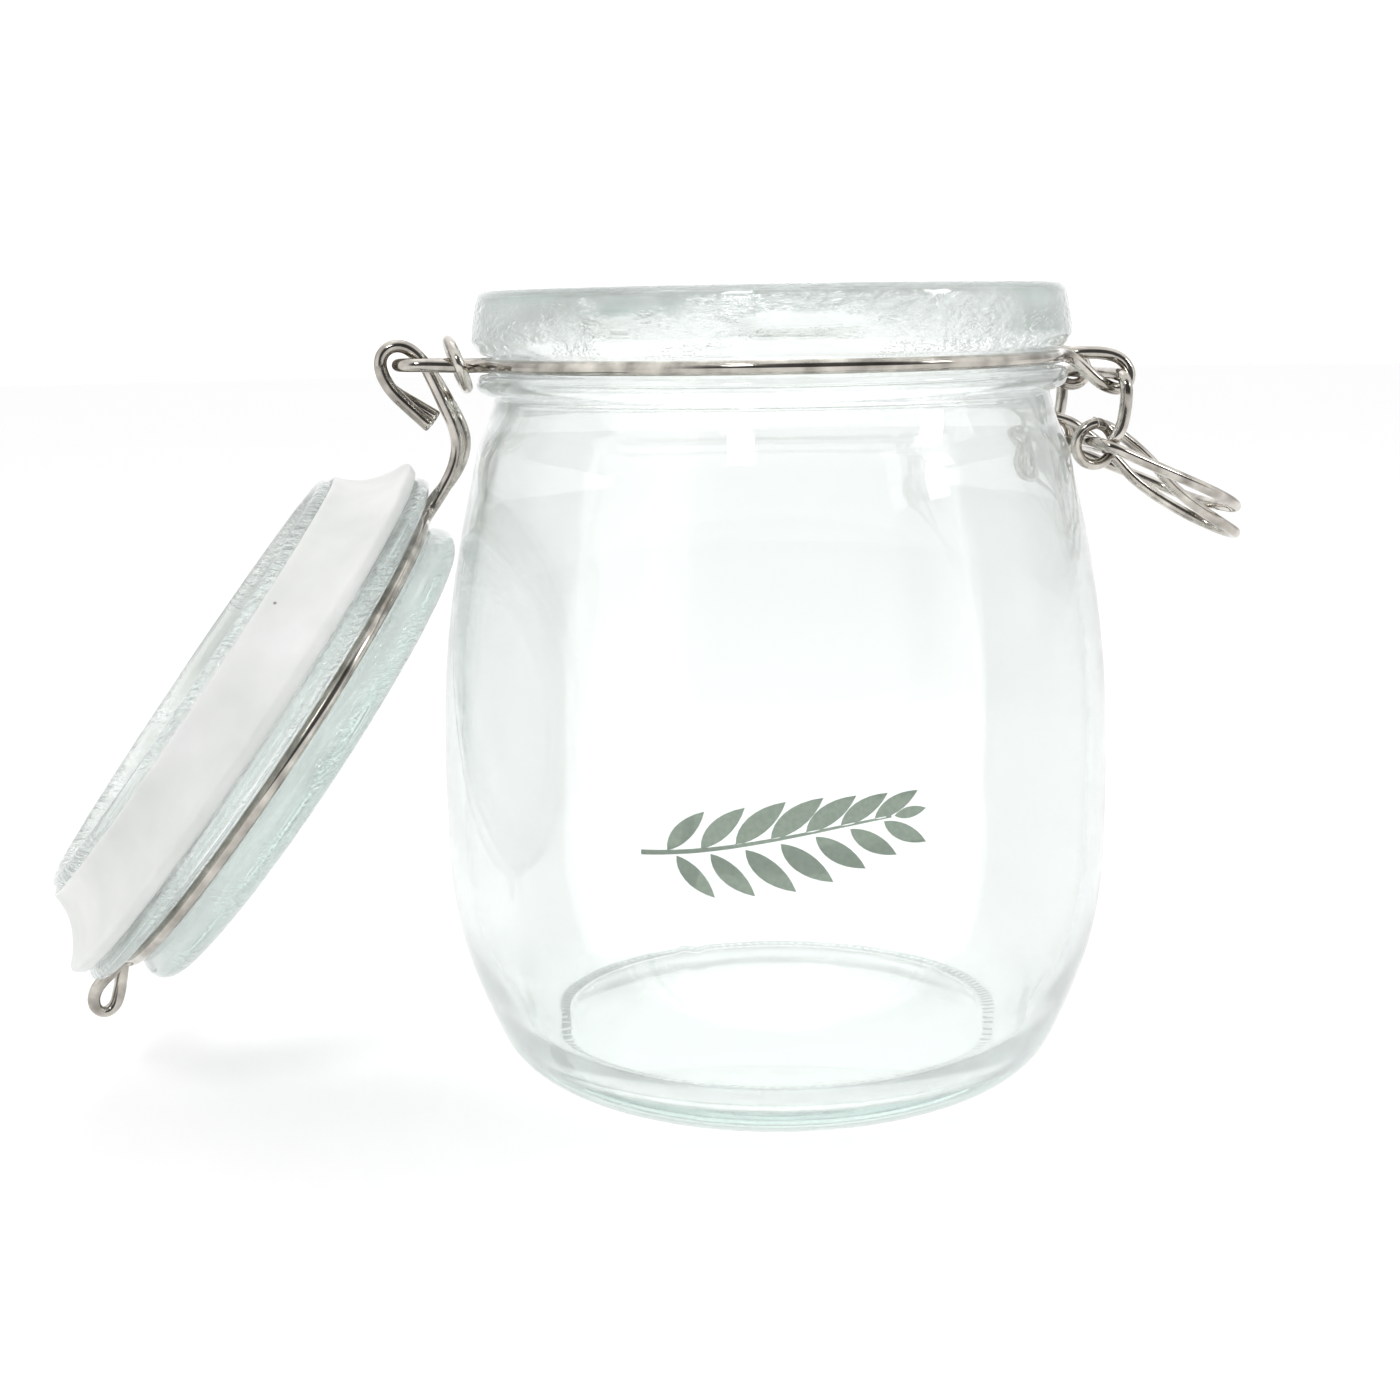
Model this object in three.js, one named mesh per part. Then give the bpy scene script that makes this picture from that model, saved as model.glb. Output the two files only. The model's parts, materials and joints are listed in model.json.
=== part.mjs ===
// Bail clamp jar: a round glass jar whose glass lid swings on a bent-wire bail and is pulled down
// on a silicone ring by a wire toggle. Millimetres, +Z up. The lid is drawn open, hanging on the
// hinge side (-X) against the jar; the toggle hangs on the latch side (+X).
import * as THREE from 'three';

// Driving dimensions
const JAR_AXIS_X = 18.4;       // jar axis, so that the open object is centred on the origin
const LATHE_SEGMENTS = 48;
const WIRE_SIDES = 6;
const LATCH_WIRE_SIDES = 8;
const WIRE_RADIUS = 1.1;       // neck wire and lid wire
const LINK_RADIUS = 1.05;
const LEVER_RADIUS = 0.95;     // lever and catch loop

const RIM_TOP = 132.3;
const MOUTH_RADIUS = 42;
const NECK_GROOVE_Z = 120.4;
const NECK_WIRE_RING = 47.8;   // centreline radius of the neck wire

const HINGE = new THREE.Vector3(-62.1, 0, 121.0);
const HINGE_BAR_X = -62.0;
const HINGE_BAR_Z = 120.7;
const HINGE_STRAND_Y = 4.2;
const OPEN_ANGLE = 233.5;      // degrees that the lid is swung back from closed

const LID_FACE_Z = 133.9;      // underside of the lid's flange when closed
const LID_WIRE_Z = LID_FACE_Z + 4.6;
const LID_WIRE_RING = 43.5;
const LID_ARM_Y = 1.45;

const LINK_TOP = new THREE.Vector3(57.3, 0, 116.9);
const LINK_BOTTOM = new THREE.Vector3(55.0, 0, 104.9);
const LINK_LEG_Y = 15;
const COIL_CENTRE = new THREE.Vector3(53.8, 0, 105.4);
const COIL_RADIUS = 3.6;
const COIL_INNER_Y = 9.5;
const COIL_PITCH = 2.2;
const CATCH_PIN = new THREE.Vector3(52.5, 0, 105.9);
const CATCH_STRAND_Y = 17.4;
const CATCH_PIN_END_Y = 8.2;

// Materials
const GLASS = { color: 0xd9e8e4, roughness: 0.05, metalness: 0 };
const STEEL = { color: 0x9a958c, roughness: 0.3, metalness: 1 };
const SILICONE = { color: 0xe6e6e2, roughness: 0.6, metalness: 0 };

const point = (x, y, z) => new THREE.Vector3(x, y, z);
const radians = THREE.MathUtils.degToRad;

function mesh(name, geometry, look) {
  const result = new THREE.Mesh(geometry, new THREE.MeshStandardMaterial(look));
  result.name = name;
  return result;
}

// Points along an arc of radius r about (centreX, centreZ), in degrees, for a lathe profile.
function profileArc(centreX, centreZ, r, from, to, steps) {
  return Array.from({ length: steps + 1 }, (_, i) => {
    const a = radians(from + ((to - from) * i) / steps);
    return new THREE.Vector2(centreX + r * Math.cos(a), centreZ + r * Math.sin(a));
  });
}

const profile = (pairs) => pairs.map(([r, z]) => new THREE.Vector2(r, z));

function turned(points) {
  const geometry = new THREE.LatheGeometry(points, LATHE_SEGMENTS);
  geometry.rotateX(Math.PI / 2);   // LatheGeometry turns about Y; the jar stands on Z
  return geometry;
}

// Points along a horizontal ring about the jar axis, from one angle to another in degrees.
function ringPoints(radius, z, from, to, steps) {
  return Array.from({ length: steps + 1 }, (_, i) => {
    const a = radians(from + ((to - from) * i) / steps);
    return point(radius * Math.cos(a), radius * Math.sin(a), z);
  });
}

// Points along an arc in the XZ plane at a given Y, from one angle to another in degrees.
function sideArc(centre, radius, y, from, to, steps) {
  return Array.from({ length: steps + 1 }, (_, i) => {
    const a = radians(from + ((to - from) * i) / steps);
    return point(centre.x + radius * Math.cos(a), y, centre.z + radius * Math.sin(a));
  });
}

const mirrored = (points) => points.map((p) => point(p.x, -p.y, p.z)).reverse();

function curveThrough(points, closed) {
  return new THREE.CatmullRomCurve3(points, closed, 'centripetal');
}

// A wire whose two ends meet.
function ringWire(points, radius, sides, steps) {
  return new THREE.TubeGeometry(curveThrough(points, true), steps, radius, sides, true);
}

// A wire with two cut ends.
function cutWire(points, radius, sides, steps) {
  const section = new THREE.Shape();
  for (let i = 0; i < sides; i += 1) {
    const a = (2 * Math.PI * i) / sides;
    const move = i === 0 ? 'moveTo' : 'lineTo';
    section[move](radius * Math.cos(a), radius * Math.sin(a));
  }
  section.closePath();
  const extrudePath = curveThrough(points, false);
  return new THREE.ExtrudeGeometry(section, { steps, extrudePath, bevelEnabled: false });
}

// Glass jar: base ring, round heel, belly, shoulder, bead, wire groove and rim band outside;
// conical gasket seat, mouth and even wall inside.
function glassJar() {
  const outside = [
    ...profile([[0, 1.8], [36.3, 1.7], [38.4, 0]]),
    ...profileArc(40, 10, 10, -90, -24, 5),
    ...profile([
      [51.3, 11], [53.2, 16], [55.3, 23], [56.7, 32], [57.07, 43], [57, 55], [56.4, 68],
      [55, 80], [53.06, 91], [51, 100], [49.6, 106], [47.9, 110], [46.5, 114.3],
      [46.5, 115], [48.2, 115.5], [49.2, 116.3], [49.4, 117.6], [49, 118.8],
      [46.4, 119.1], [46.4, 121.6], [48.5, 121.9], [50.2, 124.3],
      [48.9, 131.2], [48.3, 132.1], [47.6, RIM_TOP],
    ]),
  ];
  const inside = profile([
    [46.8, RIM_TOP], [46.2, 131.8], [42.6, 127.6], [MOUTH_RADIUS, 126.3], [MOUTH_RADIUS, 119],
    [43.2, 114], [45.4, 108.5], [48, 100], [50.1, 91], [52, 80], [53.3, 68], [53.9, 55],
    [53.9, 43], [53.5, 32], [52, 23.5], [49.5, 16.5], [47.3, 11.5], [44, 7.4], [39.5, 5.7],
    [0, 5.5],
  ]);
  return mesh('glass_jar', turned([...outside, ...inside]), GLASS);
}

// Half of the neck wire on the near side (-Y), from the hinge bar round to the latch side.
function neckWireHalf() {
  const hinge = [
    point(HINGE_BAR_X, -1.6, HINGE_BAR_Z),
    point(HINGE_BAR_X + 0.5, -3.1, HINGE_BAR_Z),
    point(HINGE_BAR_X + 2, -HINGE_STRAND_Y, HINGE_BAR_Z),
    point(-56, -HINGE_STRAND_Y, HINGE_BAR_Z - 0.1),
    point(-52, -HINGE_STRAND_Y - 0.1, NECK_GROOVE_Z),
    point(-49.4, -5.3, NECK_GROOVE_Z),
  ];
  const band = ringPoints(NECK_WIRE_RING, NECK_GROOVE_Z, -170, -19, 30);
  const eyelet = [
    point(47, -12.6, NECK_GROOVE_Z), point(49.3, -11.3, 119.9), point(51.6, -10.9, 118),
    point(54, -10.8, 116), point(56, -10.7, 114.8), point(57.9, -10.5, 114.3),
    point(59.6, -10.3, 115), point(60.2, -10, 116.6), point(59.6, -9.7, 118.6),
    point(57.8, -9.5, 120), point(54.6, -9.2, 120.6), point(51.2, -8.7, 120.6),
    point(48.9, -7.2, 120.5),
  ];
  const latch = ringPoints(NECK_WIRE_RING, NECK_GROOVE_Z, -6, -2, 1);
  return [...hinge, ...band, ...eyelet, ...latch];
}

function neckWire() {
  const half = neckWireHalf();
  const points = [...half, ...mirrored(half)];
  return mesh('neck_wire', ringWire(points, WIRE_RADIUS, WIRE_SIDES, 170), STEEL);
}

// Oval ring that ties the two strands of the neck wire's hinge loop together.
function bindingRing() {
  const centre = point(-52.4, 0, 120.6);
  const lean = radians(20);
  const halfHeight = 4.1;
  const halfWidth = 6.6;
  const points = Array.from({ length: 20 }, (_, i) => {
    const a = (2 * Math.PI * i) / 20;
    const up = halfHeight * Math.sin(a);
    return point(
      centre.x - up * Math.sin(lean),
      halfWidth * Math.cos(a),
      centre.z + up * Math.cos(lean),
    );
  });
  return mesh('binding_ring', ringWire(points, 0.95, WIRE_SIDES, 28), STEEL);
}

// Glass lid, drawn closed: hollow plug below, flange, wire groove and round-edged top disc.
function glassLid() {
  const face = LID_FACE_Z;
  const points = [
    ...profile([
      [0, face + 5.6], [34, face + 5.2], [36, face + 3.6], [36.4, face - 11.2],
    ]),
    ...profileArc(38.2, face - 10.9, 1.7, 190, 350, 4),
    ...profile([
      [39.7, face - 9.2], [38.7, face - 8.8], [38.7, face],
      [47.9, face], [49, face + 0.9], [49, face + 1.9], [48, face + 2.8],
      [41.8, face + 3.1], [41.8, face + 6.2], [42.6, face + 6.5],
    ]),
    ...profileArc(41.2, face + 9.2, 2.8, -50, 90, 5),
    ...profile([[0, face + 12.2]]),
  ];
  return mesh('glass_lid', turned(points), GLASS);
}

// Silicone sealing ring, with its lip drawn as it lies when it is pressed on the rim.
function gasket() {
  const face = LID_FACE_Z;
  const points = profile([
    [39, face - 0.3], [39, face - 8.5], [40.9, face - 8.5], [42, face - 5.6],
    [45.4, face - 1.5], [49.5, face - 1.2], [49.5, face - 0.3], [39, face - 0.3],
  ]);
  return mesh('gasket', turned(points), SILICONE);
}

// A point of the lid wire given in the open pose, brought back to the closed pose.
function fromOpen(x, y, z) {
  const turn = new THREE.Vector3(0, 1, 0);
  return point(x, y, z).sub(HINGE).applyAxisAngle(turn, radians(OPEN_ANGLE)).add(HINGE);
}

// One arm of the lid wire, from the cut end of its hook to the groove. side is -1 for the near
// arm and 1 for the far one; bulge bows the far arm further towards the jar.
function lidArm(side, bulge) {
  const y = side * LID_ARM_Y;
  const tail = [
    fromOpen(-57.4 + bulge, y, 110.8 + bulge),
    fromOpen(-60.6 + 0.5 * bulge, y, 113.9 + 0.5 * bulge),
    fromOpen(-63.5, y, 116.9),
  ];
  const hook = sideArc(HINGE, 3, y, 205, 60, 6).map((p) => fromOpen(p.x, p.y, p.z));
  const arm = [
    fromOpen(-58.4, y, 121.8),
    fromOpen(-56.5 + 0.4 * bulge, y, 118.1),
    fromOpen(-54.5 + 0.8 * bulge, y, 113.4),
    fromOpen(-53.3 + bulge, y, 110.4),
    fromOpen(-52.9 + bulge, y, 107.2),
    fromOpen(-54 + 0.6 * bulge, y, 103.2),
    fromOpen(-56.6, y, 99),
  ];
  return [...tail, ...hook, ...arm, point(-45, side * 1.9, LID_WIRE_Z)];
}

// Lid wire: hook, arm, ring in the lid's groove, front eye and back again.
function lidWire() {
  const nearBand = ringPoints(LID_WIRE_RING, LID_WIRE_Z, 186, 357, 34);
  const farBand = ringPoints(LID_WIRE_RING, LID_WIRE_Z, 3, 174, 34);
  const eye = [
    point(46.2, -1.5, LID_WIRE_Z), point(49.2, -1.4, 138.3), point(51.6, -1.3, 137.8),
    point(54.1, -1, 138.1), point(56, -0.6, 139.4), point(56.4, 0, 141.2),
    point(54.8, 0.6, 142.3), point(52, 1, 141.5), point(49.2, 1.4, 140.1),
    point(46.2, 1.5, LID_WIRE_Z + 0.3),
  ];
  const points = [
    ...lidArm(-1, 0), ...nearBand, ...eye, ...farBand, ...lidArm(1, 1.3).reverse(),
  ];
  return mesh('lid_wire', cutWire(points, WIRE_RADIUS, WIRE_SIDES, 190), STEEL);
}

// Closed link that hangs in the neck wire's eyelets and carries the lever's coils.
function link() {
  const corner = 1.6;
  const half = [
    point(LINK_TOP.x, 0, LINK_TOP.z),
    point(LINK_TOP.x, -LINK_LEG_Y + 2 * corner, LINK_TOP.z),
    point(LINK_TOP.x, -LINK_LEG_Y + 0.5 * corner, LINK_TOP.z - 0.4),
    point(LINK_TOP.x + 0.1, -LINK_LEG_Y, LINK_TOP.z - corner),
    point(LINK_TOP.x + 0.1, -LINK_LEG_Y, 112),
    point(LINK_TOP.x - 0.7, -LINK_LEG_Y, 108),
    point(LINK_BOTTOM.x + 0.6, -LINK_LEG_Y, LINK_BOTTOM.z + corner),
    point(LINK_BOTTOM.x + 0.1, -LINK_LEG_Y + 0.5 * corner, LINK_BOTTOM.z + 0.3),
    point(LINK_BOTTOM.x, -LINK_LEG_Y + 1.6 * corner, LINK_BOTTOM.z),
    point(LINK_BOTTOM.x, -6, LINK_BOTTOM.z),
  ];
  const points = [...half, ...mirrored(half.slice(1))];
  return mesh('link', ringWire(points, LINK_RADIUS, LATCH_WIRE_SIDES, 56), STEEL);
}

// Lever: one wire with a coil at each end of a tapered thumb loop.
function lever() {
  const steps = 12;
  const coil = Array.from({ length: steps + 1 }, (_, i) => {
    const a = radians(90 - (360 * (steps - i)) / steps);
    const y = -COIL_INNER_Y - (COIL_PITCH * (steps - i)) / steps;
    return point(
      COIL_CENTRE.x + COIL_RADIUS * Math.cos(a),
      y,
      COIL_CENTRE.z + COIL_RADIUS * Math.sin(a),
    );
  });
  const arm = [
    point(57, -9.4, 108), point(59.8, -9.3, 106.1), point(62.6, -9.2, 103.9),
    point(65.7, -9, 101), point(68.8, -8.6, 97.7), point(72.2, -8.1, 95),
    point(76, -7.4, 92.5), point(80, -6.2, 90.2), point(82.7, -4.3, 88.8),
    point(83.9, -1.6, 88.2),
  ];
  const half = [...coil, ...arm];
  const points = [...half, ...mirrored(half)];
  return mesh('lever', cutWire(points, LEVER_RADIUS, LATCH_WIRE_SIDES, 84), STEEL);
}

// Catch loop: its turned-in ends sit in the lever's coils, its closed end goes over the lid's eye.
function catchLoop() {
  const half = [
    point(CATCH_PIN.x, -CATCH_PIN_END_Y, CATCH_PIN.z),
    point(CATCH_PIN.x, -CATCH_STRAND_Y + 3, CATCH_PIN.z),
    point(CATCH_PIN.x + 0.2, -CATCH_STRAND_Y + 0.9, CATCH_PIN.z - 0.1),
    point(CATCH_PIN.x + 1.6, -CATCH_STRAND_Y, CATCH_PIN.z - 0.6),
    point(57, -CATCH_STRAND_Y, 104),
    point(64, -CATCH_STRAND_Y + 0.4, 101),
    point(73, -CATCH_STRAND_Y + 1.9, 97.2),
    point(77.8, -13.2, 95),
    point(80.3, -9.4, 93.7),
    point(81, -3, 93.3),
  ];
  const points = [...half, ...mirrored(half)];
  return mesh('catch_loop', cutWire(points, LEVER_RADIUS, LATCH_WIRE_SIDES, 52), STEEL);
}

// The lid assembly is drawn closed and then swung back about the hinge.
function openLid() {
  const closed = new THREE.Group();
  closed.position.copy(HINGE).negate();
  closed.add(glassLid(), gasket(), lidWire());
  const swung = new THREE.Group();
  swung.position.copy(HINGE);
  swung.rotation.y = radians(-OPEN_ANGLE);
  swung.add(closed);
  return swung;
}

const jar = new THREE.Group();
jar.position.x = JAR_AXIS_X;
jar.add(glassJar(), neckWire(), bindingRing(), link(), lever(), catchLoop(), openLid());

export default jar;
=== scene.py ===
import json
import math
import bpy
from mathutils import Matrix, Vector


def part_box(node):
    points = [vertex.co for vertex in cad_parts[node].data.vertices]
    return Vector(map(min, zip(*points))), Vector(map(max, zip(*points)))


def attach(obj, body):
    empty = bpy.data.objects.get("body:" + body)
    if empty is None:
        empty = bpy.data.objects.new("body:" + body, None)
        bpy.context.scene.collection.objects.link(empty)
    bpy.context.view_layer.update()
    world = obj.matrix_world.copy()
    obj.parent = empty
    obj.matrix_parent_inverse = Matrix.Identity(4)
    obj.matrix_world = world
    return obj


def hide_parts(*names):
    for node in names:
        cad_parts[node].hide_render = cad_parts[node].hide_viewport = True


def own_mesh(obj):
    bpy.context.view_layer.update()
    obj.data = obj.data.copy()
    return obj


bl_info = {
    "name": "Bail Clamp Jar",
    "version": (1, 0, 0),
    "blender": (4, 5, 0),
    "location": "View3D > Sidebar > Clamp Jar",
    "description": "Builds a clip-top jar's glass, silicone and wire round its CAD frame",
    "category": "Object",
}

import bpy
from mathutils import Matrix, Vector, noise

MM = 0.001

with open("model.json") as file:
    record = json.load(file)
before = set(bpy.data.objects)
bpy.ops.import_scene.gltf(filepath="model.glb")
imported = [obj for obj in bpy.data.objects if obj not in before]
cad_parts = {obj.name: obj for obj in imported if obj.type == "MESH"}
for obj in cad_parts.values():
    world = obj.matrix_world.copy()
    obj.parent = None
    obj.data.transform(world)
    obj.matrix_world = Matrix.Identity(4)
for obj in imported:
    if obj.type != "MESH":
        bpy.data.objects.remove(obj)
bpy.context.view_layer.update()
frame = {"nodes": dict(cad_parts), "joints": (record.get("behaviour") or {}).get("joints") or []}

# The jar's axis, and the hinge that the lid swings on, from the frame.
JAR_LOW, JAR_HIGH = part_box("glass_jar")
AXIS = Vector(((JAR_LOW.x + JAR_HIGH.x) / 2, 0, 0))
LID_HINGE = next(j for j in frame["joints"] if j["name"] == "lid_hinge")
HINGE = Vector(LID_HINGE["pos_m"])
OPEN_ANGLE = math.radians(max(LID_HINGE["range_deg"]))

# Swings a lid piece drawn closed back to where it hangs at rest.
OPENED = (
    Matrix.Translation(HINGE) @ Matrix.Rotation(-OPEN_ANGLE, 4, "Y") @ Matrix.Translation(-HINGE)
)

# How finely a turned piece is cut, and how its outline is faired and its corners rounded.
TURN_STEPS = 288
PROFILE_STEP = 2.0 * MM
CORNER_ANGLE = math.radians(28)
CORNER_CUT = 0.45 * MM
CORNER_KEPT = math.radians(4)
CUT_SHRINK = 1.6
STRAIGHT = 0.02 * MM
WELD = 0.004 * MM
SMOOTH_ANGLE = math.radians(50)

# The print, and the film of ink that it is laid down in.
PRINT_AZIMUTH = math.radians(-101)
PRINT_HEIGHT = 53 * MM
INK_LIFT = 0.03 * MM
INK_FILM = 0.02 * MM
LEAF_PAIRS = 7

# The camera: how it is turned, tipped and rolled, and its place in mm from the foot of the
# jar's axis.
CAMERA_TURN = math.radians(10)
CAMERA_TIP = math.radians(11.32)
CAMERA_ROLL = 0.0166
CAMERA_SPOT = Vector((-70.3, -325.2, 128.6))

# Sockets of a colour Mix node, which have no names of their own.
MIX_FIRST, MIX_SECOND, MIX_RESULT = 6, 7, 2


# ---------------------------------------------------------------- small tools

def srgb(code):
    """The linear colour, with alpha 1, of an sRGB hex value."""
    values = [int(code[i:i + 2], 16) / 255 for i in (1, 3, 5)]
    linear = [v / 12.92 if v <= 0.04045 else ((v + 0.055) / 1.055) ** 2.4 for v in values]
    return (*linear, 1.0)


def settings():
    return bpy.context.scene.clamp_jar


def deselect():
    bpy.ops.object.select_all(action="DESELECT")


def make_active(piece):
    deselect()
    piece.hide_set(False)
    piece.select_set(True)
    bpy.context.view_layer.objects.active = piece


def edit_all(piece):
    make_active(piece)
    bpy.ops.object.mode_set(mode="EDIT")
    bpy.ops.mesh.select_all(action="SELECT")


def leave_edit():
    bpy.ops.object.mode_set(mode="OBJECT")


def apply_modifier(piece, kind, **values):
    """Adds a modifier with its settings and applies it."""
    make_active(piece)
    modifier = piece.modifiers.new(kind.title(), kind)
    for key, value in values.items():
        setattr(modifier, key, value)
    bpy.ops.object.modifier_apply(modifier=modifier.name)


def add_node(tree, kind, inputs=None, links=None, **values):
    """Adds a node, sets its properties and inputs, and links other sockets into it."""
    node = tree.nodes.new(kind)
    for key, value in values.items():
        setattr(node, key, value)
    for key, value in (inputs or {}).items():
        node.inputs[key].default_value = value
    for key, source in (links or {}).items():
        tree.links.new(source, node.inputs[key])
    return node


def new_material(name):
    """A material with its shader and output, and the coordinates that its patterns use."""
    material = bpy.data.materials.new(name)
    material.use_nodes = True
    tree = material.node_tree
    tree.nodes.clear()
    output = add_node(tree, "ShaderNodeOutputMaterial")
    shader = add_node(tree, "ShaderNodeBsdfPrincipled")
    tree.links.new(shader.outputs["BSDF"], output.inputs["Surface"])
    place = add_node(tree, "ShaderNodeTexCoord").outputs["Object"]
    return material, tree, shader, output, place


def per_metre(size_mm):
    """The scale of a pattern on metre coordinates whose features are this many mm across."""
    return 1000 / size_mm


# ---------------------------------------------------------------- materials

def soda_lime_glass(name, peel_low, peel_high):
    """Soda-lime glass: clear through one wall and pale aqua where it is thick. A blown wall has
    a slow waviness, and between the two heights the pressed band has a stretched orange peel."""
    material, tree, shader, output, place = new_material(name)
    shader.inputs["Base Color"].default_value = srgb(settings().glass_colour_hex)
    shader.inputs["Roughness"].default_value = 0.0
    shader.inputs["IOR"].default_value = 1.52
    shader.inputs["Transmission Weight"].default_value = 1.0
    wave = add_node(
        tree, "ShaderNodeTexNoise", {"Scale": per_metre(15), "Detail": 1.0}, {"Vector": place},
    )
    slow = add_node(
        tree, "ShaderNodeBump", {"Strength": 0.1, "Distance": 0.4 * MM},
        {"Height": wave.outputs["Fac"]},
    )
    stretched = add_node(
        tree, "ShaderNodeMapping", {"Scale": (per_metre(2.6), per_metre(2.6), per_metre(0.8))},
        {"Vector": place},
    )
    peel = add_node(
        tree, "ShaderNodeTexNoise", {"Scale": 1.0, "Detail": 3.0, "Roughness": 0.6},
        {"Vector": stretched.outputs["Vector"]},
    )
    patches = add_node(
        tree, "ShaderNodeTexNoise", {"Scale": per_metre(16), "Detail": 1.0}, {"Vector": place},
    )
    thick = add_node(
        tree, "ShaderNodeMapRange",
        {"From Min": 0.4, "From Max": 0.6}, {"Value": patches.outputs["Fac"]},
    )
    height = add_node(tree, "ShaderNodeSeparateXYZ", links={"Vector": place}).outputs["Z"]
    above = add_node(
        tree, "ShaderNodeMapRange", {"From Min": peel_low, "From Max": peel_low + 1.5 * MM},
        {"Value": height}, interpolation_type="SMOOTHSTEP",
    )
    below = add_node(
        tree, "ShaderNodeMapRange", {"From Min": peel_high, "From Max": peel_high - 1.5 * MM},
        {"Value": height}, interpolation_type="SMOOTHSTEP",
    )
    band = add_node(
        tree, "ShaderNodeMath", links={0: above.outputs["Result"], 1: below.outputs["Result"]},
        operation="MULTIPLY",
    )
    share = add_node(
        tree, "ShaderNodeMath", links={0: band.outputs["Value"], 1: thick.outputs["Result"]},
        operation="MULTIPLY",
    )
    rippled = add_node(
        tree, "ShaderNodeBump", {"Distance": 0.9 * MM},
        {
            "Strength": share.outputs["Value"],
            "Height": peel.outputs["Fac"],
            "Normal": slow.outputs["Normal"],
        },
    )
    tree.links.new(rippled.outputs["Normal"], shader.inputs["Normal"])
    clear = add_node(tree, "ShaderNodeBsdfTransparent")
    both = add_node(
        tree, "ShaderNodeMixShader", {0: settings().clear_share},
        {1: shader.outputs["BSDF"], 2: clear.outputs["BSDF"]},
    )
    tree.links.new(both.outputs["Shader"], output.inputs["Surface"])
    tint = add_node(
        tree, "ShaderNodeVolumeAbsorption",
        {"Color": srgb(settings().glass_tint_hex), "Density": settings().tint_density},
    )
    tree.links.new(tint.outputs["Volume"], output.inputs["Volume"])
    return material


def stippled_glass():
    """The glass of the ribs that the jar stands on: scuffed to a grey frost by the mould."""
    material, tree, shader, _, place = new_material("stippled_glass")
    scuff = add_node(
        tree, "ShaderNodeTexNoise", {"Scale": per_metre(0.7), "Detail": 2.0}, {"Vector": place},
    )
    frost = add_node(
        tree, "ShaderNodeMapRange",
        {"From Min": 0.3, "From Max": 0.7, "To Min": 0.25, "To Max": 0.6},
        {"Value": scuff.outputs["Fac"]},
    )
    tree.links.new(frost.outputs["Result"], shader.inputs["Roughness"])
    shader.inputs["Base Color"].default_value = srgb("#76817d")
    shader.inputs["IOR"].default_value = 1.52
    shader.inputs["Transmission Weight"].default_value = 0.15
    return material


def drawn_stainless():
    """Bright drawn stainless wire: a near-mirror skin with the faint lengthwise haze and small
    handling marks that drawing and bending leave."""
    material, tree, shader, _, place = new_material("drawn_stainless_wire")
    grain = add_node(
        tree, "ShaderNodeTexNoise", {"Scale": per_metre(1.1), "Detail": 4.0, "Roughness": 0.65},
        {"Vector": place},
    )
    cloud = add_node(
        tree, "ShaderNodeTexNoise", {"Scale": per_metre(4), "Detail": 3.0}, {"Vector": place},
    )
    colour = add_node(tree, "ShaderNodeValToRGB", links={"Fac": cloud.outputs["Fac"]})
    colour.color_ramp.elements[0].position = 0.3
    colour.color_ramp.elements[0].color = srgb(settings().steel_dark_hex)
    colour.color_ramp.elements[1].position = 0.7
    colour.color_ramp.elements[1].color = srgb(settings().steel_hex)
    gloss = add_node(
        tree, "ShaderNodeMapRange",
        {"From Min": 0.3, "From Max": 0.7, "To Min": 0.05, "To Max": 0.16},
        {"Value": grain.outputs["Fac"]},
    )
    bump = add_node(
        tree, "ShaderNodeBump",
        {"Strength": 0.15, "Distance": 0.03 * MM}, {"Height": grain.outputs["Fac"]},
    )
    tree.links.new(colour.outputs["Color"], shader.inputs["Base Color"])
    tree.links.new(gloss.outputs["Result"], shader.inputs["Roughness"])
    tree.links.new(bump.outputs["Normal"], shader.inputs["Normal"])
    shader.inputs["Metallic"].default_value = 1.0
    return material


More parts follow.
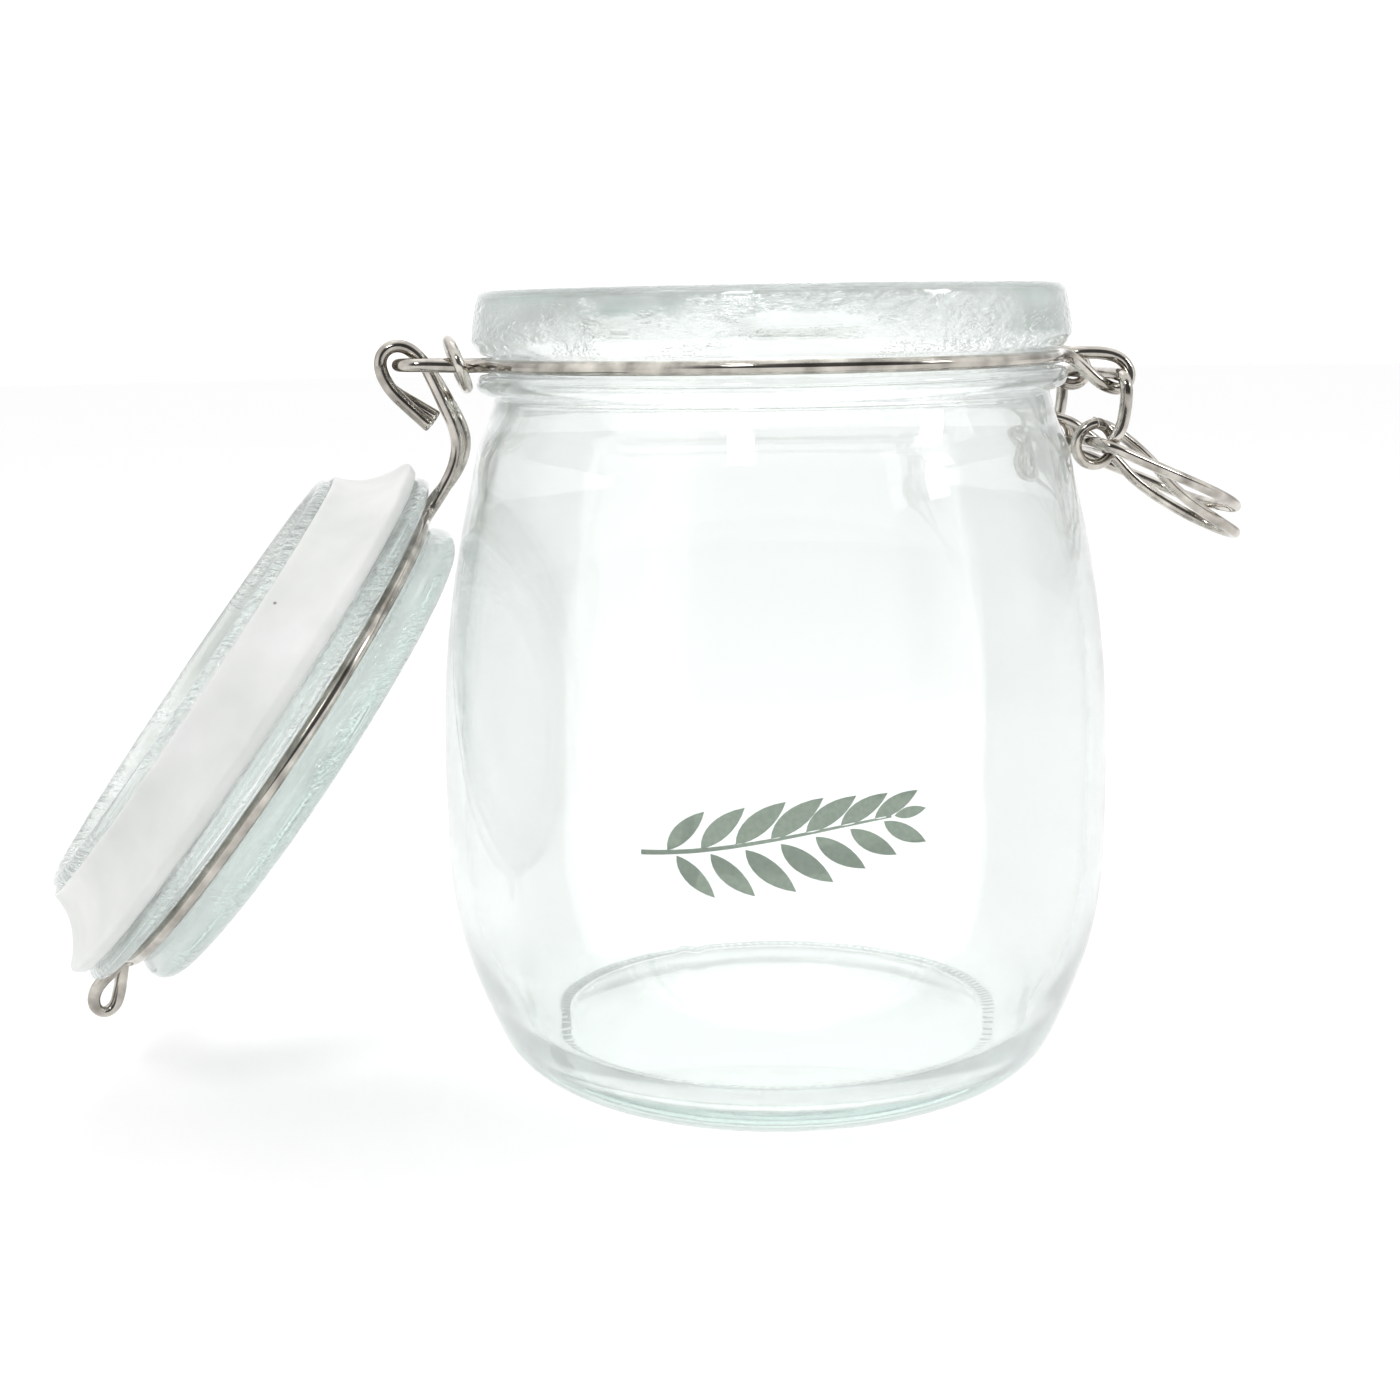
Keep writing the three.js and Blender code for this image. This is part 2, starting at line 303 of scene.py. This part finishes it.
def milky_silicone():
    """Moulded silicone rubber, unpigmented: milky and translucent, satin, with a faint mottle
    and a few specks of lint, which silicone always picks up."""
    material, tree, shader, _, place = new_material("moulded_silicone")
    mottle = add_node(
        tree, "ShaderNodeTexNoise", {"Scale": per_metre(16), "Detail": 3.0}, {"Vector": place},
    )
    body = add_node(tree, "ShaderNodeValToRGB", links={"Fac": mottle.outputs["Fac"]})
    body.color_ramp.elements[0].position = 0.35
    body.color_ramp.elements[0].color = srgb("#e6e8e5")
    body.color_ramp.elements[1].position = 0.7
    body.color_ramp.elements[1].color = srgb(settings().silicone_hex)
    lint = add_node(tree, "ShaderNodeTexVoronoi", {"Scale": per_metre(9)}, {"Vector": place})
    speck = add_node(
        tree, "ShaderNodeMapRange",
        {"From Min": 0.035, "From Max": 0.02, "To Min": 0.0, "To Max": 0.75},
        {"Value": lint.outputs["Distance"]},
    )
    mixed = add_node(
        tree, "ShaderNodeMix", links={"Factor": speck.outputs["Result"]}, data_type="RGBA",
    )
    tree.links.new(body.outputs["Color"], mixed.inputs[MIX_FIRST])
    mixed.inputs[MIX_SECOND].default_value = srgb("#5d5a55")
    skin = add_node(
        tree, "ShaderNodeTexNoise", {"Scale": per_metre(0.9), "Detail": 2.0}, {"Vector": place},
    )
    bump = add_node(
        tree, "ShaderNodeBump",
        {"Strength": 0.2, "Distance": 0.04 * MM}, {"Height": skin.outputs["Fac"]},
    )
    tree.links.new(mixed.outputs[MIX_RESULT], shader.inputs["Base Color"])
    tree.links.new(bump.outputs["Normal"], shader.inputs["Normal"])
    shader.inputs["Roughness"].default_value = 0.42
    shader.inputs["IOR"].default_value = 1.41
    shader.inputs["Subsurface Weight"].default_value = 0.35
    shader.inputs["Subsurface Scale"].default_value = 1.5 * MM
    shader.inputs["Subsurface Radius"].default_value = (1, 1, 1)
    shader.inputs["Transmission Weight"].default_value = 0.2
    return material


def screen_ink():
    """Fired screen-print ink: flat grey-green, a little uneven where the mesh laid it down."""
    material, tree, shader, _, place = new_material("screen_print_ink")
    lay = add_node(
        tree, "ShaderNodeTexNoise", {"Scale": per_metre(0.8), "Detail": 2.0}, {"Vector": place},
    )
    colour = add_node(tree, "ShaderNodeValToRGB", links={"Fac": lay.outputs["Fac"]})
    colour.color_ramp.elements[0].position = 0.35
    colour.color_ramp.elements[0].color = srgb("#8d9b8e")
    colour.color_ramp.elements[1].position = 0.65
    colour.color_ramp.elements[1].color = srgb(settings().print_hex)
    tree.links.new(colour.outputs["Color"], shader.inputs["Base Color"])
    shader.inputs["Roughness"].default_value = 0.4
    return material


def studio_paper():
    """Seamless white background paper, with its very fine tooth."""
    material, tree, shader, _, place = new_material("background_paper")
    tooth = add_node(
        tree, "ShaderNodeTexNoise", {"Scale": per_metre(1.2), "Detail": 3.0}, {"Vector": place},
    )
    bump = add_node(
        tree, "ShaderNodeBump",
        {"Strength": 0.05, "Distance": 0.05 * MM}, {"Height": tooth.outputs["Fac"]},
    )
    tree.links.new(bump.outputs["Normal"], shader.inputs["Normal"])
    shader.inputs["Base Color"].default_value = srgb("#fdfdfd")
    shader.inputs["Roughness"].default_value = 0.85
    return material


# ---------------------------------------------------------------- shapes

def meridian(node, to_closed=None):
    """The outline that a round CAD node is turned from, as (radius, height) points in order:
    the chain of its vertices on the half plane that runs from the jar's axis towards +X."""
    turn = to_closed or Matrix.Identity(4)
    data = frame["nodes"][node].data
    places = [turn @ v.co for v in data.vertices]
    keys = [(round(p.x / WELD), round(p.z / WELD)) for p in places]
    on_plane = [abs(p.y) < WELD and p.x - AXIS.x > -WELD for p in places]
    spots = {}
    joined = {}
    for edge in data.edges:
        a, b = edge.vertices
        if not (on_plane[a] and on_plane[b]) or keys[a] == keys[b]:
            continue
        for one, other in ((a, b), (b, a)):
            spots[keys[one]] = (places[one].x - AXIS.x, places[one].z)
            joined.setdefault(keys[one], set()).add(keys[other])
    if not joined:
        raise RuntimeError(f"No outline found on {node}")
    ends = [k for k, others in joined.items() if len(others) == 1]
    here = min(ends or joined, key=lambda k: spots[k][1])
    chain = [here]
    while True:
        onward = [k for k in joined[chain[-1]] if k not in chain]
        if not onward:
            break
        chain.append(min(onward, key=lambda k: len(joined[k])))
    return [spots[k] for k in chain]


def faired(points, closed=False):
    """The outline with its gentle runs drawn as curves and its sharp corners kept."""
    spots = [Vector(p) for p in points]
    count = len(spots)

    def slope(i, along):
        before = spots[(i - 1) % count]
        after = spots[(i + 1) % count]
        at_end = not closed and i in (0, count - 1)
        if at_end or (after - spots[i]).angle(spots[i] - before) > CORNER_ANGLE:
            return along.normalized()
        return (after - before).normalized()

    result = []
    for i in range(count if closed else count - 1):
        start, end = spots[i], spots[(i + 1) % count]
        along = end - start
        first = slope(i, along) * along.length
        last = slope((i + 1) % count, along) * along.length
        steps = max(1, math.ceil(along.length / PROFILE_STEP))
        straight = (first - along).length + (last - along).length < STRAIGHT
        for k in range(1 if straight else steps):
            t = k / steps
            result.append(
                start * (2 * t**3 - 3 * t**2 + 1) + first * (t**3 - 2 * t**2 + t)
                + end * (3 * t**2 - 2 * t**3) + last * (t**3 - t**2)
            )
    return result if closed else result + [spots[-1]]


def softened(points, closed=False, rounds=3):
    """Rounds the outline's corners by cutting each one a little further every time."""
    spots = list(points)
    for level in range(rounds):
        reach = CORNER_CUT / CUT_SHRINK**level
        result = [] if closed else [spots[0]]
        for i in range(0 if closed else 1, len(spots) - (0 if closed else 1)):
            before, here, after = spots[i - 1], spots[i], spots[(i + 1) % len(spots)]
            back, onward = before - here, after - here
            if back.angle(-onward) < CORNER_KEPT:
                result.append(here)
                continue
            result.append(here + back.normalized() * min(reach, 0.25 * back.length))
            result.append(here + onward.normalized() * min(reach, 0.25 * onward.length))
        spots = result if closed else result + [spots[-1]]
    return spots


def turned(name, outline, closed=False):
    """Draws the outline edge by edge from one corner, and spins it round the jar's axis."""
    bpy.ops.mesh.primitive_plane_add(size=MM, location=(0, 0, 0))
    piece = bpy.context.object
    piece.name = name
    piece.data.name = name
    edit_all(piece)
    bpy.ops.mesh.merge(type="CENTER")
    first = Vector((AXIS.x + outline[0][0], 0, outline[0][1]))
    bpy.ops.transform.translate(value=first)
    for here, after in zip(outline, outline[1:]):
        step = (after[0] - here[0], 0, after[1] - here[1])
        bpy.ops.mesh.extrude_region_move(TRANSFORM_OT_translate={"value": step})
    if closed:
        bpy.ops.mesh.select_all(action="SELECT")
        leave_edit()
        piece.data.edges.add(1)
        piece.data.edges[-1].vertices = (0, len(piece.data.vertices) - 1)
        piece.data.update()
        edit_all(piece)
    bpy.ops.mesh.select_all(action="SELECT")
    bpy.ops.mesh.spin(steps=TURN_STEPS, angle=2 * math.pi, center=AXIS, axis=(0, 0, 1))
    bpy.ops.mesh.select_all(action="SELECT")
    bpy.ops.mesh.remove_doubles(threshold=WELD)
    bpy.ops.mesh.normals_make_consistent(inside=False)
    leave_edit()
    bpy.ops.object.shade_smooth_by_angle(angle=SMOOTH_ANGLE)
    return piece


def finish_piece(piece, body, slot, material, *nodes):
    """Gives a piece its finish, and lets it ride on its body in place of its CAD nodes."""
    piece.data.materials.clear()
    piece.data.materials.append(material)
    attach(piece, body)
    if nodes:
        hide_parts(*nodes)
    deselect()


def smooth_wire(node, name, gain):
    """A copy of a CAD wire with its facets turned into a round section of the same diameter."""
    make_active(frame["nodes"][node])
    bpy.ops.object.duplicate()
    piece = bpy.context.object
    piece.parent = None
    piece.matrix_world = Matrix.Identity(4)
    piece.name = name
    piece.data.name = name
    edit_all(piece)
    bpy.ops.mesh.remove_doubles(threshold=WELD)
    bpy.ops.mesh.tris_convert_to_quads(
        face_threshold=math.radians(38), shape_threshold=math.radians(60),
    )
    bpy.ops.mesh.select_all(action="DESELECT")
    bpy.ops.mesh.select_mode(type="EDGE")
    bpy.ops.mesh.edges_select_sharp(sharpness=math.radians(70))
    bpy.ops.transform.edge_crease(value=1)
    leave_edit()
    apply_modifier(piece, "SUBSURF", levels=2, render_levels=2)
    apply_modifier(piece, "DISPLACE", strength=gain, mid_level=0.0)
    make_active(piece)
    bpy.ops.object.shade_smooth_by_angle(angle=SMOOTH_ANGLE)
    return piece


# ---------------------------------------------------------------- settings

class ClampJarSettings(bpy.types.PropertyGroup):
    glass_colour_hex: bpy.props.StringProperty(
        name="Glass", description="Colour that the glass shows through a single wall",
        default="#fbfdfc",
    )
    glass_tint_hex: bpy.props.StringProperty(
        name="Edge tint", description="Colour of the glass where it is thick", default="#bfe4da",
    )
    tint_density: bpy.props.FloatProperty(
        name="Tint density", description="How fast the edge tint builds up with depth, per metre",
        default=7.0, min=0.0, soft_max=60.0,
    )
    clear_share: bpy.props.FloatProperty(
        name="Clear share",
        description="Share of the light that goes straight through, which softens the edges",
        default=0.2, min=0.0, max=1.0, subtype="FACTOR",
    )
    steel_hex: bpy.props.StringProperty(
        name="Wire", description="Bright colour of the stainless wire", default="#d3cec6",
    )
    steel_dark_hex: bpy.props.StringProperty(
        name="Wire shade", description="Duller colour of the stainless wire", default="#8f8a83",
    )
    silicone_hex: bpy.props.StringProperty(
        name="Silicone", description="Colour of the sealing ring", default="#f8f9f7",
    )
    print_hex: bpy.props.StringProperty(
        name="Print", description="Colour of the printed sprig", default="#97a597",
    )
    rim_ripple: bpy.props.FloatProperty(
        name="Rim ripple", description="Height of the pressed rim's orange peel",
        default=0.1 * MM, min=0.0, subtype="DISTANCE", unit="LENGTH",
    )
    seam_height: bpy.props.FloatProperty(
        name="Mould seam", description="Height of the mould's seam on the body",
        default=0.14 * MM, min=0.0, subtype="DISTANCE", unit="LENGTH",
    )
    print_width: bpy.props.FloatProperty(
        name="Print width", description="Width of the printed sprig",
        default=43 * MM, min=5 * MM, subtype="DISTANCE", unit="LENGTH",
    )


# ---------------------------------------------------------------- stage

class CLAMPJAR_OT_stage(bpy.types.Operator):
    """Set up the paper floor, the studio light and the camera"""
    bl_idname = "clampjar.stage"
    bl_label = "Stage"

    def execute(self, context):
        self.floor()
        self.light_tent()
        self.softboxes()
        self.camera(context)
        return {"FINISHED"}

    def floor(self):
        bpy.ops.mesh.primitive_circle_add(
            vertices=128, radius=4.0, fill_type="NGON", location=(0, 0, -0.05 * MM),
        )
        floor = bpy.context.object
        bpy.ops.object.transform_apply(location=True)
        floor.name = "floor"
        floor.data.materials.append(studio_paper())
        deselect()

    def light_tent(self):
        """A pale tent all round, with a dark opening behind the camera and a dim flag at each
        side, which the wire and the glass pick up and a straight look at the tent doesn't."""
        world = bpy.data.worlds.new("light_tent")
        bpy.context.scene.world = world
        world.use_nodes = True
        tree = world.node_tree
        tree.nodes.clear()
        output = add_node(tree, "ShaderNodeOutputWorld")
        way = add_node(tree, "ShaderNodeTexCoord").outputs["Generated"]
        shade = None
        for direction, wide, narrow, dark in (
            ((0.1, -0.98, 0.2), 0.5, 0.8, 0.92), ((-0.66, 0.75, 0.1), 0.84, 1.0, 0.45),
            ((0.88, 0.47, 0.1), 0.84, 1.0, 0.45),
        ):
            facing = add_node(
                tree, "ShaderNodeVectorMath", {1: Vector(direction).normalized()}, {0: way},
                operation="DOT_PRODUCT",
            )
            patch = add_node(
                tree, "ShaderNodeMapRange",
                {"From Min": wide, "From Max": narrow, "To Min": 1.0, "To Max": 1.0 - dark},
                {"Value": facing.outputs["Value"]}, interpolation_type="SMOOTHSTEP",
            )
            if shade is None:
                shade = patch.outputs["Result"]
            else:
                both = {0: shade, 1: patch.outputs["Result"]}
                shade = add_node(
                    tree, "ShaderNodeMath", links=both, operation="MULTIPLY",
                ).outputs["Value"]
        seen = add_node(tree, "ShaderNodeLightPath").outputs["Is Camera Ray"]
        plain = add_node(tree, "ShaderNodeMath", links={0: shade, 1: seen}, operation="MAXIMUM")
        level = add_node(
            tree, "ShaderNodeMath", {1: 1.22}, {0: plain.outputs["Value"]}, operation="MULTIPLY",
        )
        background = add_node(
            tree, "ShaderNodeBackground",
            {"Color": srgb("#ffffff")}, {"Strength": level.outputs["Value"]},
        )
        tree.links.new(background.outputs["Background"], output.inputs["Surface"])

    def softboxes(self):
        """Two small panels above and beside the camera, and a wide one high behind the jar."""
        aim = AXIS + Vector((0, 0, 0.08))
        for name, spot, size, power in (
            ("key", (-0.35, -0.75, 0.75), 0.16, 2.0),
            ("fill", (0.75, -0.5, 0.55), 0.16, 1.1),
            ("top", (0.0, 0.35, 1.0), 0.5, 0.6),
        ):
            light = bpy.data.lights.new(name, "AREA")
            light.shape = "SQUARE"
            light.size = size
            light.energy = power
            lamp = bpy.data.objects.new(name, light)
            bpy.context.scene.collection.objects.link(lamp)
            lamp.location = AXIS + Vector(spot)
            lamp.rotation_euler = (aim - lamp.location).to_track_quat("-Z", "Y").to_euler()

    def camera(self, context):
        data = bpy.data.cameras.new("camera")
        data.lens = 50
        data.sensor_width = 36
        data.clip_start = 0.01
        camera = bpy.data.objects.new("camera", data)
        context.scene.collection.objects.link(camera)
        across, along = math.sin(CAMERA_TURN), math.cos(CAMERA_TURN)
        out = math.cos(CAMERA_TIP)
        forward = Vector((across * out, along * out, -math.sin(CAMERA_TIP)))
        level = Vector((along, -across, 0))
        upright = level.cross(forward)
        right = level * math.cos(CAMERA_ROLL) - upright * math.sin(CAMERA_ROLL)
        up = upright * math.cos(CAMERA_ROLL) + level * math.sin(CAMERA_ROLL)
        camera.matrix_world = Matrix((right, up, -forward)).transposed().to_4x4()
        camera.location = AXIS + CAMERA_SPOT * MM
        context.scene.camera = camera
        context.scene.view_settings.view_transform = "Standard"


# ---------------------------------------------------------------- glass

class CLAMPJAR_OT_glass_jar(bpy.types.Operator):
    """Turn the glass body, with its rippled rim band, mould seams and knurled base ring"""
    bl_idname = "clampjar.glass_jar"
    bl_label = "Glass jar"

    # Heights between which the rim band was pressed.
    BAND_LOW, BAND_HIGH = 123.5 * MM, 131.2 * MM
    # The underside, pushed up in the middle, as (radius, height) in mm out to the standing ring.
    PUSHED_UP = ((0, 1.8), (20, 1.65), (30, 1.25), (36, 0.6), (38.6, 0.08))
    # Where the ribs lie across the standing ring, their depth, and how high the ring reaches.
    RIB_INNER, RIB_OUTER = 38.2 * MM, 41.3 * MM
    RIB_DEPTH = 0.4 * MM
    RING_TOP = 0.6 * MM
    SEAM_AZIMUTH = math.radians(-115)

    def execute(self, context):
        walls = [p for p in meridian("glass_jar") if p[0] > 39 * MM or p[1] > 3 * MM]
        underside = [(r * MM, z * MM) for r, z in self.PUSHED_UP]
        jar = turned("jar_body", softened(faired(underside + walls)))
        self.ripple_rim(jar)
        self.raise_seams(jar)
        self.knurl_base(jar)
        glass = soda_lime_glass("blown_soda_lime_glass", self.BAND_LOW, self.BAND_HIGH)
        finish_piece(jar, "jar", "jar_glass", glass, "glass_jar")
        self.frost_ribs(jar)
        jar.visible_shadow = False
        return {"FINISHED"}

    def ripple_rim(self, jar):
        """Pressed glass chills unevenly on the mould, which leaves a stretched orange peel."""
        top = JAR_HIGH.z
        low = top - 10.5 * MM
        height = settings().rim_ripple
        for vertex in jar.data.vertices:
            out = vertex.co - AXIS
            flat = Vector((out.x, out.y, 0))
            if not (low < out.z < top - 0.6 * MM and flat.length > 47.6 * MM):
                continue
            angle = math.atan2(out.y, out.x)
            fade = min(1, (out.z - low) / (2 * MM), (top - out.z) / (2 * MM))
            spot = Vector((26 * math.cos(angle), 26 * math.sin(angle), out.z / (1.6 * MM)))
            patchy = 0.35 + noise.noise(spot * 0.16 + Vector((9, 0, 0)))
            reach = height * fade * noise.noise(spot) * max(0.1, 1.4 * patchy)
            vertex.co += flat.normalized() * reach
            vertex.co -= flat.normalized() * 0.5 * height * fade

    def raise_seams(self, jar):
        """The two halves of the blow mould leave a fine line up each side of the body."""
        low, top = 12 * MM, JAR_HIGH.z - 4 * MM
        height = settings().seam_height
        width = 2 * math.pi / TURN_STEPS
        for vertex in jar.data.vertices:
            out = vertex.co - AXIS
            flat = Vector((out.x, out.y, 0))
            outside = vertex.normal.dot(flat) > 0.3 * flat.length
            if not low < out.z < top or not outside:
                continue
            angle = math.atan2(out.y, out.x)
            off = abs(math.sin(angle - self.SEAM_AZIMUTH)) / width
            if off < 0.6:
                vertex.co += flat.normalized() * height * (1 - off)

    def knurl_base(self, jar):
        """Fine ribs across the ring that the jar stands on, which keep it from scuffing."""
        for vertex in jar.data.vertices:
            out = vertex.co - AXIS
            reach = math.hypot(out.x, out.y)
            if out.z > self.RING_TOP or not self.RIB_INNER < reach < self.RIB_OUTER:
                continue
            step = round(math.atan2(out.y, out.x) / (2 * math.pi) * TURN_STEPS)
            if step % 2:
                vertex.co.z += self.RIB_DEPTH

    def frost_ribs(self, jar):
        """Every other rib stands proud and takes the scuffs."""
        jar.data.materials.append(stippled_glass())
        for face in jar.data.polygons:
            out = face.center - AXIS
            reach = math.hypot(out.x, out.y)
            if out.z < 1 * MM and 38.3 * MM < reach < 41 * MM:
                step = math.floor(math.atan2(out.y, out.x) / (2 * math.pi) * TURN_STEPS)
                face.material_index = step % 2


class CLAMPJAR_OT_glass_lid(bpy.types.Operator):
    """Turn the pressed glass lid and hang it open"""
    bl_idname = "clampjar.glass_lid"
    bl_label = "Glass lid"

    # The lid is pressed all over, so its orange peel ends above the whole object.
    ABOVE_ALL = 0.2

    def execute(self, context):
        outline = softened(faired(meridian("glass_lid", OPENED.inverted())))
        lid = turned("lid_glass", outline)
        self.press_marks(lid)
        lid.data.transform(OPENED)
        glass = soda_lime_glass("pressed_soda_lime_glass", 0.0, self.ABOVE_ALL)
        finish_piece(lid, "lid", "lid_glass", glass, "glass_lid")
        lid.visible_shadow = False
        return {"FINISHED"}

    def press_marks(self, lid):
        """The lid's edges are a little uneven, as pressed glass is."""
        for vertex in lid.data.vertices:
            out = vertex.co - AXIS
            flat = Vector((out.x, out.y, 0))
            if flat.length < 41 * MM:
                continue
            spot = Vector((9 * out.x, 9 * out.y, 25 * out.z)) * 12
            vertex.co -= flat.normalized() * 0.08 * MM * (1 + noise.noise(spot))


# ---------------------------------------------------------------- sealing ring

class CLAMPJAR_OT_gasket(bpy.types.Operator):
    """Turn the silicone ring with its lip standing free"""
    bl_idname = "clampjar.gasket"
    bl_label = "Gasket"

    def execute(self, context):
        face = max(z for _, z in meridian("gasket", OPENED.inverted())) + 0.3 * MM
        lip = (
            (39.1, -0.35), (39.1, -8.2), (40.25, -9.4), (40.3, -10.9), (40.9, -10.9), (41.5, -9.2),
            (42.4, -7.6), (43.8, -5.9), (46, -4.2), (48, -3), (49.7, -2.3), (49.3, -1.2),
            (48.8, -0.35),
        )
        outline = [(r * MM, face + z * MM) for r, z in lip]
        ring = turned("sealing_ring", softened(faired(outline, True), True, 2), True)
        ring.data.transform(OPENED)
        finish_piece(ring, "lid", "seal_silicone", milky_silicone(), "gasket")
        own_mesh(ring)
        return {"FINISHED"}


# ---------------------------------------------------------------- wire

class CLAMPJAR_OT_wires(bpy.types.Operator):
    """Round the bent wires: neck wire, binding ring, lid wire, link, lever and catch loop"""
    bl_idname = "clampjar.wires"
    bl_label = "Bent wires"

    def execute(self, context):
        steel = drawn_stainless()
        for node, name, body, slot, radius, sides in (
            ("neck_wire", "neck_bail", "jar", "bail_wire", 1.1, 6),
            ("binding_ring", "strand_ring", "jar", "bail_wire", 0.95, 6),
            ("lid_wire", "lid_bail", "lid", "bail_wire", 1.1, 6),
            ("link", "eye_link", "latch_link", "latch_wire", 1.05, 8),
            ("lever", "thumb_lever", "latch_lever", "latch_wire", 0.95, 8),
            ("catch_loop", "lid_catch", "latch_catch", "latch_wire", 0.95, 8),
        ):
            drawn_in = (1 - math.cos(2 * math.pi / sides)) / 3
            wire = smooth_wire(node, name, radius * drawn_in * MM)
            finish_piece(wire, body, slot, steel, node)
        return {"FINISHED"}


# ---------------------------------------------------------------- print

class CLAMPJAR_OT_sprig(bpy.types.Operator):
    """Print a plain leafy sprig on the front of the jar"""
    bl_idname = "clampjar.sprig"
    bl_label = "Printed sprig"

    def execute(self, context):
        width = settings().print_width
        bpy.ops.curve.primitive_bezier_curve_add(location=(0, 0, 0))
        sprig = bpy.context.object
        sprig.name = "printed_sprig"
        curve = sprig.data
        curve.splines.clear()
        curve.dimensions = "2D"
        curve.fill_mode = "BOTH"
        curve.resolution_u = 8
        self.stem(curve, width)
        for k in range(LEAF_PAIRS):
            along = -0.42 + 0.72 * k / (LEAF_PAIRS - 1)
            size = width * (0.235 - 0.016 * abs(k - 2.5))
            for side in (-1, 1):
                stagger = 0.012 if side > 0 else 0.045
                root = ((along + stagger) * width, self.rise(along) * width)
                self.leaf(curve, root, side * math.radians(56 - 3 * k), size, side)
        tip = (0.385 * width, self.rise(0.385) * width)
        self.leaf(curve, tip, math.radians(8), 0.12 * width, 0)
        bpy.ops.object.convert(target="MESH")
        edit_all(sprig)
        bpy.ops.mesh.remove_doubles(threshold=WELD)
        bpy.ops.mesh.subdivide(number_cuts=5)
        leave_edit()
        self.wrap(sprig)
        apply_modifier(sprig, "SOLIDIFY", thickness=INK_FILM, offset=1.0)
        edit_all(sprig)
        bpy.ops.mesh.normals_make_consistent(inside=False)
        leave_edit()
        finish_piece(sprig, "jar", "jar_glass", screen_ink())
        return {"FINISHED"}

    def rise(self, along):
        """Height of the stem's gentle bow, both as shares of the print's width."""
        return 0.07 * math.sin(2.6 * along) - 0.01

    def spline(self, curve, knots):
        """Adds a closed outline from (place, handle before, handle after) knots."""
        spline = curve.splines.new("BEZIER")
        spline.bezier_points.add(len(knots) - 1)
        spline.use_cyclic_u = True
        for point, (place, before, after) in zip(spline.bezier_points, knots):
            point.handle_left_type = point.handle_right_type = "FREE"
            point.co = (*place, 0)
            point.handle_left = (*before, 0)
            point.handle_right = (*after, 0)

    def leaf(self, curve, root, angle, length, side):
        """A pointed leaf that leaves the stem at the angle and bows a little back along it."""
        gap = 0.05 * length
        turn = Matrix.Rotation(angle, 2)

        def spot(x, y):
            local = turn @ Vector((gap + x * length, y * length - side * 0.16 * length * x * x))
            return root[0] + local.x, root[1] + local.y

        self.spline(curve, (
            (spot(0, 0), spot(0.22, -0.2), spot(0.22, 0.2)),
            (spot(1, 0), spot(0.62, 0.24), spot(0.62, -0.24)),
        ))

    def stem(self, curve, width):
        """A tapering stem along the bow."""
        steps = 6
        half = 0.009 * width
        over, under = [], []
        for k in range(steps + 1):
            along = -0.5 + 0.88 * k / steps
            thick = half * (1 - 0.55 * k / steps)
            over.append((along * width, self.rise(along) * width + thick))
            under.append((along * width, self.rise(along) * width - thick))
        ring = over + under[::-1]
        reach = 0.88 * width / steps / 3
        knots = []
        for k, (x, y) in enumerate(ring):
            way = 1 if k <= steps else -1
            tilt = 0.07 * 2.6 * math.cos(2.6 * x / width)
            dx, dy = way * reach, way * reach * tilt
            knots.append(((x, y), (x - dx, y - dy), (x + dx, y + dy)))
        for k in (0, steps + 1):
            place, _, after = knots[k]
            knots[k] = (place, place, after)
        for k in (steps, 2 * steps + 1):
            place, before, _ = knots[k]
            knots[k] = (place, before, place)
        self.spline(curve, knots)

    def wrap(self, sprig):
        """Lays the flat drawing on the outside of the glass, where it faces the camera."""
        wall = []
        for radius, z in meridian("glass_jar"):
            if z > 100 * MM:
                break
            wall.append((z, radius))
        for vertex in sprig.data.vertices:
            z = PRINT_HEIGHT + vertex.co.y
            radius = self.wall_radius(wall, z) + INK_LIFT
            angle = PRINT_AZIMUTH + vertex.co.x / radius
            out = Vector((radius * math.cos(angle), radius * math.sin(angle), z))
            vertex.co = AXIS + out

    def wall_radius(self, wall, z):
        """Radius of the outside of the glass at a height."""
        for (low, first), (high, last) in zip(wall, wall[1:]):
            if low <= z < high:
                return first + (last - first) * (z - low) / (high - low)
        raise RuntimeError("The print runs off the straight part of the glass")


# ---------------------------------------------------------------- panel

class CLAMPJAR_PT_panel(bpy.types.Panel):
    """Lists the jar's pieces in the sidebar"""
    bl_label = "Clamp Jar"
    bl_idname = "CLAMPJAR_PT_panel"
    bl_space_type = "VIEW_3D"
    bl_region_type = "UI"
    bl_category = "Clamp Jar"

    def draw(self, context):
        for key in ClampJarSettings.__annotations__:
            self.layout.prop(context.scene.clamp_jar, key)
        for operator in OPERATORS:
            self.layout.operator(operator.bl_idname)


OPERATORS = (
    CLAMPJAR_OT_stage,
    CLAMPJAR_OT_glass_jar,
    CLAMPJAR_OT_glass_lid,
    CLAMPJAR_OT_gasket,
    CLAMPJAR_OT_wires,
    CLAMPJAR_OT_sprig,
)
CLASSES = (ClampJarSettings, *OPERATORS, CLAMPJAR_PT_panel)


def register():
    for item in CLASSES:
        bpy.utils.register_class(item)
    bpy.types.Scene.clamp_jar = bpy.props.PointerProperty(type=ClampJarSettings)


def unregister():
    del bpy.types.Scene.clamp_jar
    for item in reversed(CLASSES):
        bpy.utils.unregister_class(item)


def main():
    register()
    bpy.ops.clampjar.stage()
    bpy.ops.clampjar.glass_jar()
    bpy.ops.clampjar.glass_lid()
    bpy.ops.clampjar.gasket()
    bpy.ops.clampjar.wires()
    bpy.ops.clampjar.sprig()


if __name__ == "__main__":
    main()
